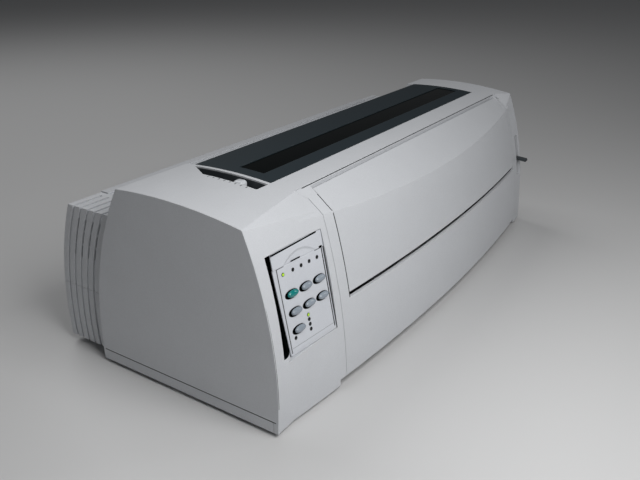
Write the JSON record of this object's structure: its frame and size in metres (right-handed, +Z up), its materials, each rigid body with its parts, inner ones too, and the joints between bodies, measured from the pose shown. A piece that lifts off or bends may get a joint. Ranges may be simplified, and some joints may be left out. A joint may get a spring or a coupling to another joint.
{
  "type": "dot matrix printer",
  "caption": "Wide-carriage impact printer: domed casing, bulged lifting front door, dark hinged top cover with window, button panel, ribbed rear cover, platen and carriage drive.",
  "frame": {"origin": "middle of the footprint of the whole printer, on the surface that its feet stand on", "axes": "+X from the operator panel side to the platen knob side, along the platen; +Y from the front to the rear; +Z up"},
  "size_m": [0.5964, 0.2802, 0.1847],
  "materials": {
    "belt_rubber": "matt black",
    "black_plastic": "black moulding",
    "blue_plastic": "blue moulding",
    "board_green": "solder mask",
    "board_tan": "bare laminate",
    "brass_metal": "turned",
    "button_plastic": "satin grey moulding",
    "casing_plastic": "fine grained light grey moulding",
    "connector_metal": "tinned shell",
    "cover_plastic": "fine grained dark slate moulding",
    "foot_rubber": "matt black",
    "gear_plastic": "ivory moulding",
    "guide_plastic": "light grey moulding",
    "knob_plastic": "ribbed black moulding",
    "lamp_plastic": "diffusing yellow-green",
    "lever_plastic": "dark grey moulding",
    "light_lever_plastic": "light grey moulding",
    "motor_metal": "dark satin paint",
    "panel_plastic": "smooth light grey moulding",
    "plated_steel": "zinc plated sheet",
    "roller_rubber": "ground matt black",
    "screw_steel": "plated",
    "shaft_steel": "ground and polished",
    "teal_plastic": "satin green-blue moulding",
    "white_plastic": "unfilled white moulding",
    "window_plastic": "smoked, glossy"
  },
  "bodies": {
    "chassis": {"lower_casing": "casing_plastic", "rubber_feet": "foot_rubber", "upper_casing": "casing_plastic", "rear_lower_casing": "casing_plastic", "front_apron": "casing_plastic", "casing_screws": "screw_steel", "left_side_frame": "plated_steel", "right_side_frame": "plated_steel", "chassis_plate": "plated_steel", "guide_shaft": "shaft_steel", "front_guide_rail": "plated_steel", "paper_pan": "black_plastic", "platen_bushings": "white_plastic", "main_board": "board_green", "power_supply": "board_tan", "power_inlet": "black_plastic", "data_connectors": "connector_metal", "carriage_motor": "motor_metal", "feed_motor": "motor_metal", "timing_belt": "belt_rubber", "ribbon_cartridge": "black_plastic", "ribbon_band": "black_plastic", "panel_plate": "panel_plastic", "panel_board": "board_green", "status_lamps": "lamp_plastic", "tractor_support_shaft": "shaft_steel"},
    "top_cover_body": {"top_cover": "cover_plastic", "view_window": "window_plastic"},
    "door": {"front_door": "casing_plastic"},
    "rear_cover_body": {"rear_cover": "casing_plastic"},
    "paper_guide_body": {"paper_guide": "guide_plastic"},
    "platen": {"platen_roller": "roller_rubber", "platen_shaft": "shaft_steel", "platen_gear": "gear_plastic", "platen_knob": "knob_plastic"},
    "pinion": {"motor_pinion": "brass_metal"},
    "reduction": {"reduction_gear": "gear_plastic"},
    "front_idler": {"front_idler_gear": "gear_plastic"},
    "tractor_drive": {"tractor_drive_shaft": "shaft_steel"},
    "pinch": {"pinch_rollers": "roller_rubber"},
    "head_carriage": {"carriage": "black_plastic", "print_head": "motor_metal"},
    "belt_drive_pulley": {"motor_pulley": "brass_metal"},
    "belt_idler_pulley": {"idler_pulley": "brass_metal"},
    "ribbon_winder": {"ribbon_knob": "blue_plastic"},
    "bail": {"bail_frame": "plated_steel"},
    "bail_roller_set": {"bail_rollers": "roller_rubber"},
    "gap_lever": {"thickness_lever": "light_lever_plastic"},
    "paper_lever": {"path_lever": "lever_plastic"},
    "power_switch": {"power_rocker": "black_plastic"},
    "tractor_left": {"left_tractor": "black_plastic"},
    "tractor_right": {"right_tractor": "black_plastic"},
    "key_1": {"button_1": "teal_plastic"},
    "key_2": {"button_2": "button_plastic"},
    "key_3": {"button_3": "button_plastic"},
    "key_4": {"button_4": "button_plastic"},
    "key_5": {"button_5": "button_plastic"},
    "key_6": {"button_6": "button_plastic"},
    "key_7": {"button_7": "button_plastic"}
  },
  "joints": [
    {"name": "top_cover_hinge", "type": "hinge", "parent": "chassis", "child": "top_cover_body", "pos_m": [0, 0.0416, 0.168], "axis": [-1, 0, 0], "range_deg": [0, 60]},
    {"name": "door_hinge", "type": "hinge", "parent": "chassis", "child": "door", "pos_m": [0, -0.08402, 0.17295], "axis": [-1, 0, 0], "range_deg": [0, 80]},
    {"name": "rear_cover_lift", "type": "slide", "parent": "chassis", "child": "rear_cover_body", "axis": [0, 0, 1], "range_m": [0, 0.05]},
    {"name": "paper_guide_hinge", "type": "hinge", "parent": "rear_cover_body", "child": "paper_guide_body", "pos_m": [0, 0.0896, 0.1493], "axis": [1, 0, 0], "range_deg": [0, 80]},
    {"name": "platen_spin", "type": "hinge", "parent": "chassis", "child": "platen", "pos_m": [0, -0.0024, 0.1207], "axis": [1, 0, 0], "continuous": true},
    {"name": "front_idler_spin", "type": "hinge", "parent": "chassis", "child": "front_idler", "pos_m": [0.23975, -0.03261, 0.09152], "axis": [1, 0, 0], "continuous": true},
    {"name": "tractor_drive_spin", "type": "hinge", "parent": "chassis", "child": "tractor_drive", "pos_m": [0, -0.06873, 0.05412], "axis": [1, 0, 0], "continuous": true},
    {"name": "reduction_spin", "type": "hinge", "parent": "chassis", "child": "reduction", "pos_m": [0.23975, 0.02423, 0.10206], "axis": [1, 0, 0], "continuous": true},
    {"name": "motor_pinion_spin", "type": "hinge", "parent": "chassis", "child": "pinion", "pos_m": [0.23975, 0.03938, 0.09145], "axis": [1, 0, 0], "continuous": true},
    {"name": "pinch_roller_spin", "type": "hinge", "parent": "chassis", "child": "pinch", "pos_m": [0, -0.0024, 0.0934], "axis": [1, 0, 0], "continuous": true},
    {"name": "bail_hinge", "type": "hinge", "parent": "chassis", "child": "bail", "pos_m": [0, -0.0404, 0.1157], "axis": [1, 0, 0], "range_deg": [0, 25]},
    {"name": "bail_roller_spin", "type": "hinge", "parent": "bail", "child": "bail_roller_set", "pos_m": [0, -0.01623, 0.142], "axis": [1, 0, 0], "continuous": true},
    {"name": "carriage_slide", "type": "slide", "parent": "chassis", "child": "head_carriage", "axis": [1, 0, 0], "range_m": [0, 0.34]},
    {"name": "belt_drive_pulley_spin", "type": "hinge", "parent": "chassis", "child": "belt_drive_pulley", "pos_m": [-0.18625, -0.0364, 0.074], "axis": [0, 0, 1], "range_deg": [-20, 2803]},
    {"name": "belt_idler_pulley_spin", "type": "hinge", "parent": "chassis", "child": "belt_idler_pulley", "pos_m": [0.20675, -0.0364, 0.074], "axis": [0, 0, 1], "range_deg": [-20, 2803]},
    {"name": "ribbon_winder_spin", "type": "hinge", "parent": "chassis", "child": "ribbon_winder", "pos_m": [-0.16025, -0.0884, 0.1497], "axis": [0, 0, 1], "continuous": true},
    {"name": "gap_lever_hinge", "type": "hinge", "parent": "chassis", "child": "gap_lever", "pos_m": [-0.22825, -0.0164, 0.064], "axis": [1, 0, 0], "range_deg": [-15, 6]},
    {"name": "paper_lever_hinge", "type": "hinge", "parent": "chassis", "child": "paper_lever", "pos_m": [0.26775, -0.0754, 0.096], "axis": [-1, 0, 0], "range_deg": [-20, 24]},
    {"name": "power_switch_rock", "type": "hinge", "parent": "chassis", "child": "power_switch", "pos_m": [-0.22425, 0.1331, 0.038], "axis": [1, 0, 0], "range_deg": [0, 14]},
    {"name": "tractor_left_slide", "type": "slide", "parent": "chassis", "child": "tractor_left", "axis": [1, 0, 0], "range_m": [-0.03, 0.12]},
    {"name": "tractor_right_slide", "type": "slide", "parent": "chassis", "child": "tractor_right", "axis": [1, 0, 0], "range_m": [-0.12, 0.03]},
    {"name": "key_1_press", "type": "slide", "parent": "chassis", "child": "key_1", "axis": [0.0927, 0.9715, -0.2181], "range_m": [0, 0.0015], "stiffness_N_per_m": 400},
    {"name": "key_2_press", "type": "slide", "parent": "chassis", "child": "key_2", "axis": [0.0927, 0.9715, -0.2181], "range_m": [0, 0.0015], "stiffness_N_per_m": 400},
    {"name": "key_3_press", "type": "slide", "parent": "chassis", "child": "key_3", "axis": [0.0927, 0.9715, -0.2181], "range_m": [0, 0.0015], "stiffness_N_per_m": 400},
    {"name": "key_4_press", "type": "slide", "parent": "chassis", "child": "key_4", "axis": [0.0927, 0.9715, -0.2181], "range_m": [0, 0.0015], "stiffness_N_per_m": 400},
    {"name": "key_5_press", "type": "slide", "parent": "chassis", "child": "key_5", "axis": [0.0927, 0.9715, -0.2181], "range_m": [0, 0.0015], "stiffness_N_per_m": 400},
    {"name": "key_6_press", "type": "slide", "parent": "chassis", "child": "key_6", "axis": [0.0927, 0.9715, -0.2181], "range_m": [0, 0.0015], "stiffness_N_per_m": 400},
    {"name": "key_7_press", "type": "slide", "parent": "chassis", "child": "key_7", "axis": [0.0927, 0.9715, -0.2181], "range_m": [0, 0.0015], "stiffness_N_per_m": 400}
  ],
  "couplings": [
    {"joint": "front_idler_spin", "follows": "platen_spin", "ratio": -0.90909},
    {"joint": "tractor_drive_spin", "follows": "platen_spin", "ratio": 0.66667},
    {"joint": "reduction_spin", "follows": "platen_spin", "ratio": -1.6},
    {"joint": "motor_pinion_spin", "follows": "platen_spin", "ratio": 3.3333},
    {"joint": "pinch_roller_spin", "follows": "platen_spin", "ratio": -2.375},
    {"joint": "bail_roller_spin", "follows": "platen_spin", "ratio": -3.1667},
    {"joint": "belt_drive_pulley_spin", "follows": "carriage_slide", "rad_per_m": 142.86},
    {"joint": "belt_idler_pulley_spin", "follows": "carriage_slide", "rad_per_m": 142.86}
  ]
}
